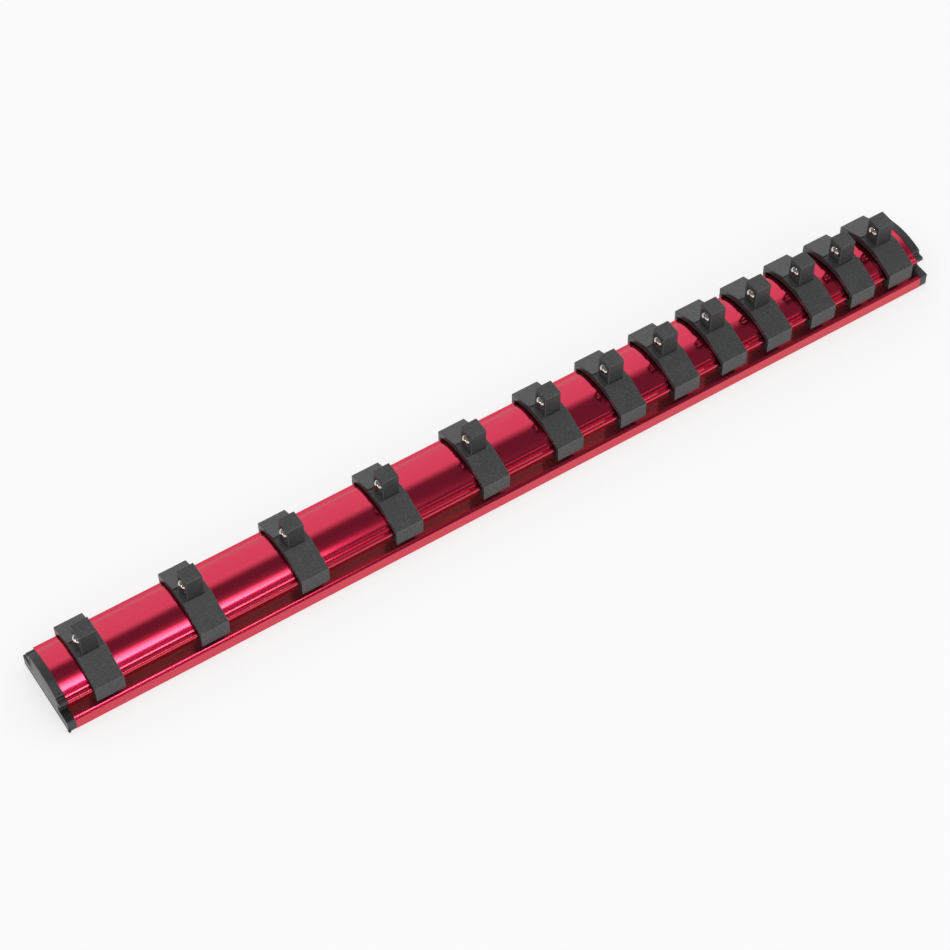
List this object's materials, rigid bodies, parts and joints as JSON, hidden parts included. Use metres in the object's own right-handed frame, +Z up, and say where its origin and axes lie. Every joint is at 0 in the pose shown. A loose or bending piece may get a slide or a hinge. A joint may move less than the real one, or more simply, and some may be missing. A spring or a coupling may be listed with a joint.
{
  "type": "socket rail",
  "caption": "Straight metal rail with end caps and sliding clips, each with a square post and a sprung ball that holds a socket.",
  "frame": {"origin": "middle of the underside, halfway along the rail and halfway across it", "axes": "+X along the rail, from the widely spaced clips towards the closely spaced ones; +Y across the rail; +Z up out of the posts"},
  "size_m": [0.3504, 0.0326, 0.0268],
  "materials": {
    "anodised_rail": "polished, anodised red",
    "black_plastic": "satin moulded",
    "ball_steel": "polished",
    "spring_steel": "drawn wire"
  },
  "bodies": {
    "base": {"rail": "anodised_rail", "end_cap_left": "black_plastic", "end_cap_right": "black_plastic"},
    "clip_01": {"clip_01": "black_plastic", "ball_spring_01": "spring_steel"},
    "ball_01": {"ball_01": "ball_steel"},
    "clip_02": {"clip_02": "black_plastic", "ball_spring_02": "spring_steel"},
    "ball_02": {"ball_02": "ball_steel"},
    "clip_03": {"clip_03": "black_plastic", "ball_spring_03": "spring_steel"},
    "ball_03": {"ball_03": "ball_steel"},
    "clip_04": {"clip_04": "black_plastic", "ball_spring_04": "spring_steel"},
    "ball_04": {"ball_04": "ball_steel"},
    "clip_05": {"clip_05": "black_plastic", "ball_spring_05": "spring_steel"},
    "ball_05": {"ball_05": "ball_steel"},
    "clip_06": {"clip_06": "black_plastic", "ball_spring_06": "spring_steel"},
    "ball_06": {"ball_06": "ball_steel"},
    "clip_07": {"clip_07": "black_plastic", "ball_spring_07": "spring_steel"},
    "ball_07": {"ball_07": "ball_steel"},
    "clip_08": {"clip_08": "black_plastic", "ball_spring_08": "spring_steel"},
    "ball_08": {"ball_08": "ball_steel"},
    "clip_09": {"clip_09": "black_plastic", "ball_spring_09": "spring_steel"},
    "ball_09": {"ball_09": "ball_steel"},
    "clip_10": {"clip_10": "black_plastic", "ball_spring_10": "spring_steel"},
    "ball_10": {"ball_10": "ball_steel"},
    "clip_11": {"clip_11": "black_plastic", "ball_spring_11": "spring_steel"},
    "ball_11": {"ball_11": "ball_steel"},
    "clip_12": {"clip_12": "black_plastic", "ball_spring_12": "spring_steel"},
    "ball_12": {"ball_12": "ball_steel"},
    "clip_13": {"clip_13": "black_plastic", "ball_spring_13": "spring_steel"},
    "ball_13": {"ball_13": "ball_steel"}
  },
  "joints": [
    {"name": "clip_01_slide", "type": "slide", "parent": "base", "child": "clip_01", "axis": [1, 0, 0], "range_m": [-0.0089, 0.01385]},
    {"name": "clip_02_slide", "type": "slide", "parent": "base", "child": "clip_02", "axis": [1, 0, 0], "range_m": [-0.01385, 0.01353]},
    {"name": "clip_03_slide", "type": "slide", "parent": "base", "child": "clip_03", "axis": [1, 0, 0], "range_m": [-0.01353, 0.01289]},
    {"name": "clip_04_slide", "type": "slide", "parent": "base", "child": "clip_04", "axis": [1, 0, 0], "range_m": [-0.01289, 0.01193]},
    {"name": "clip_05_slide", "type": "slide", "parent": "base", "child": "clip_05", "axis": [1, 0, 0], "range_m": [-0.01193, 0.00968]},
    {"name": "clip_06_slide", "type": "slide", "parent": "base", "child": "clip_06", "axis": [1, 0, 0], "range_m": [-0.00968, 0.00768]},
    {"name": "clip_07_slide", "type": "slide", "parent": "base", "child": "clip_07", "axis": [1, 0, 0], "range_m": [-0.00768, 0.00599]},
    {"name": "clip_08_slide", "type": "slide", "parent": "base", "child": "clip_08", "axis": [1, 0, 0], "range_m": [-0.00599, 0.00479]},
    {"name": "clip_09_slide", "type": "slide", "parent": "base", "child": "clip_09", "axis": [1, 0, 0], "range_m": [-0.00479, 0.00439]},
    {"name": "clip_10_slide", "type": "slide", "parent": "base", "child": "clip_10", "axis": [1, 0, 0], "range_m": [-0.00439, 0.00431]},
    {"name": "clip_11_slide", "type": "slide", "parent": "base", "child": "clip_11", "axis": [1, 0, 0], "range_m": [-0.00431, 0.0035]},
    {"name": "clip_12_slide", "type": "slide", "parent": "base", "child": "clip_12", "axis": [1, 0, 0], "range_m": [-0.0035, 0.0031]},
    {"name": "clip_13_slide", "type": "slide", "parent": "base", "child": "clip_13", "axis": [1, 0, 0], "range_m": [-0.0031, 0.0039]},
    {"name": "ball_01_press", "type": "slide", "parent": "clip_01", "child": "ball_01", "axis": [1, 0, 0], "range_m": [0, 0.0011], "stiffness_N_per_m": 1000, "deforming": ["ball_spring_01"]},
    {"name": "ball_02_press", "type": "slide", "parent": "clip_02", "child": "ball_02", "axis": [1, 0, 0], "range_m": [0, 0.0011], "stiffness_N_per_m": 1000, "deforming": ["ball_spring_02"]},
    {"name": "ball_03_press", "type": "slide", "parent": "clip_03", "child": "ball_03", "axis": [1, 0, 0], "range_m": [0, 0.0011], "stiffness_N_per_m": 1000, "deforming": ["ball_spring_03"]},
    {"name": "ball_04_press", "type": "slide", "parent": "clip_04", "child": "ball_04", "axis": [1, 0, 0], "range_m": [0, 0.0011], "stiffness_N_per_m": 1000, "deforming": ["ball_spring_04"]},
    {"name": "ball_05_press", "type": "slide", "parent": "clip_05", "child": "ball_05", "axis": [1, 0, 0], "range_m": [0, 0.0011], "stiffness_N_per_m": 1000, "deforming": ["ball_spring_05"]},
    {"name": "ball_06_press", "type": "slide", "parent": "clip_06", "child": "ball_06", "axis": [1, 0, 0], "range_m": [0, 0.0011], "stiffness_N_per_m": 1000, "deforming": ["ball_spring_06"]},
    {"name": "ball_07_press", "type": "slide", "parent": "clip_07", "child": "ball_07", "axis": [1, 0, 0], "range_m": [0, 0.0011], "stiffness_N_per_m": 1000, "deforming": ["ball_spring_07"]},
    {"name": "ball_08_press", "type": "slide", "parent": "clip_08", "child": "ball_08", "axis": [1, 0, 0], "range_m": [0, 0.0011], "stiffness_N_per_m": 1000, "deforming": ["ball_spring_08"]},
    {"name": "ball_09_press", "type": "slide", "parent": "clip_09", "child": "ball_09", "axis": [1, 0, 0], "range_m": [0, 0.0011], "stiffness_N_per_m": 1000, "deforming": ["ball_spring_09"]},
    {"name": "ball_10_press", "type": "slide", "parent": "clip_10", "child": "ball_10", "axis": [1, 0, 0], "range_m": [0, 0.0011], "stiffness_N_per_m": 1000, "deforming": ["ball_spring_10"]},
    {"name": "ball_11_press", "type": "slide", "parent": "clip_11", "child": "ball_11", "axis": [1, 0, 0], "range_m": [0, 0.0011], "stiffness_N_per_m": 1000, "deforming": ["ball_spring_11"]},
    {"name": "ball_12_press", "type": "slide", "parent": "clip_12", "child": "ball_12", "axis": [1, 0, 0], "range_m": [0, 0.0011], "stiffness_N_per_m": 1000, "deforming": ["ball_spring_12"]},
    {"name": "ball_13_press", "type": "slide", "parent": "clip_13", "child": "ball_13", "axis": [1, 0, 0], "range_m": [0, 0.0011], "stiffness_N_per_m": 1000, "deforming": ["ball_spring_13"]}
  ]
}
